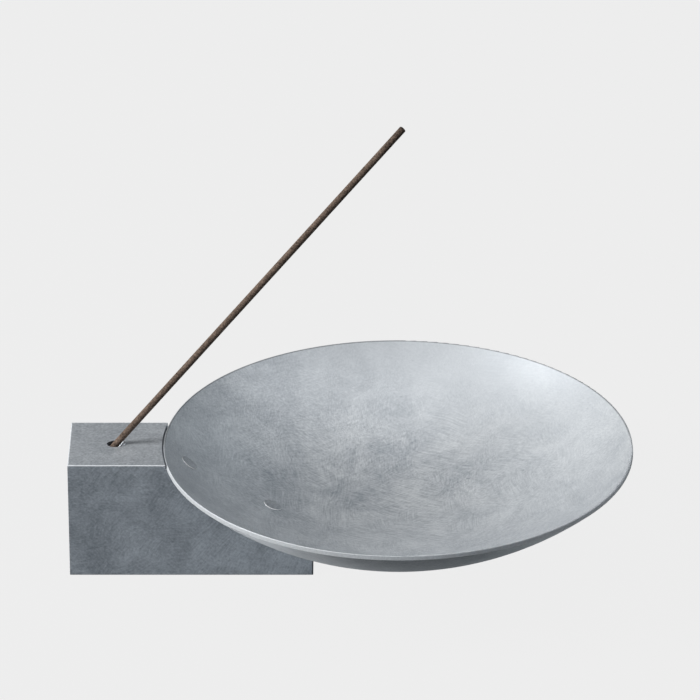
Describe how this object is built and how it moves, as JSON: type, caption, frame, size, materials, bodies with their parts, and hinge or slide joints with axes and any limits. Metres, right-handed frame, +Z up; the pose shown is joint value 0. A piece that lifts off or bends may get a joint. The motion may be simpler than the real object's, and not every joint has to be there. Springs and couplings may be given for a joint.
{
  "type": "incense stick holder",
  "caption": "Incense stick holder: a metal block holds a stick at a slant over a shallow round dish that is pinned into the block and catches the ash.",
  "frame": {"origin": "centre of the block's underside, on the table", "axes": "+X along the block towards the dish, +Y across the block, +Z up"},
  "size_m": [0.1618, 0.1348, 0.1351],
  "materials": {
    "sanded_aluminium": "hand-sanded, cloudy blue-grey",
    "pin_aluminium": "hand-sanded, a little darker",
    "incense": "rough, matt brown"
  },
  "bodies": {
    "holder": {"block": "sanded_aluminium", "dish": "sanded_aluminium", "upper_dish_pin": "pin_aluminium", "lower_dish_pin": "pin_aluminium"},
    "stick": {"incense_stick": "incense"}
  },
  "joints": [
    {"name": "stick_draw", "type": "slide", "parent": "holder", "child": "stick", "axis": [0.6374, 0, 0.7705], "range_m": [0, 0.03]}
  ]
}
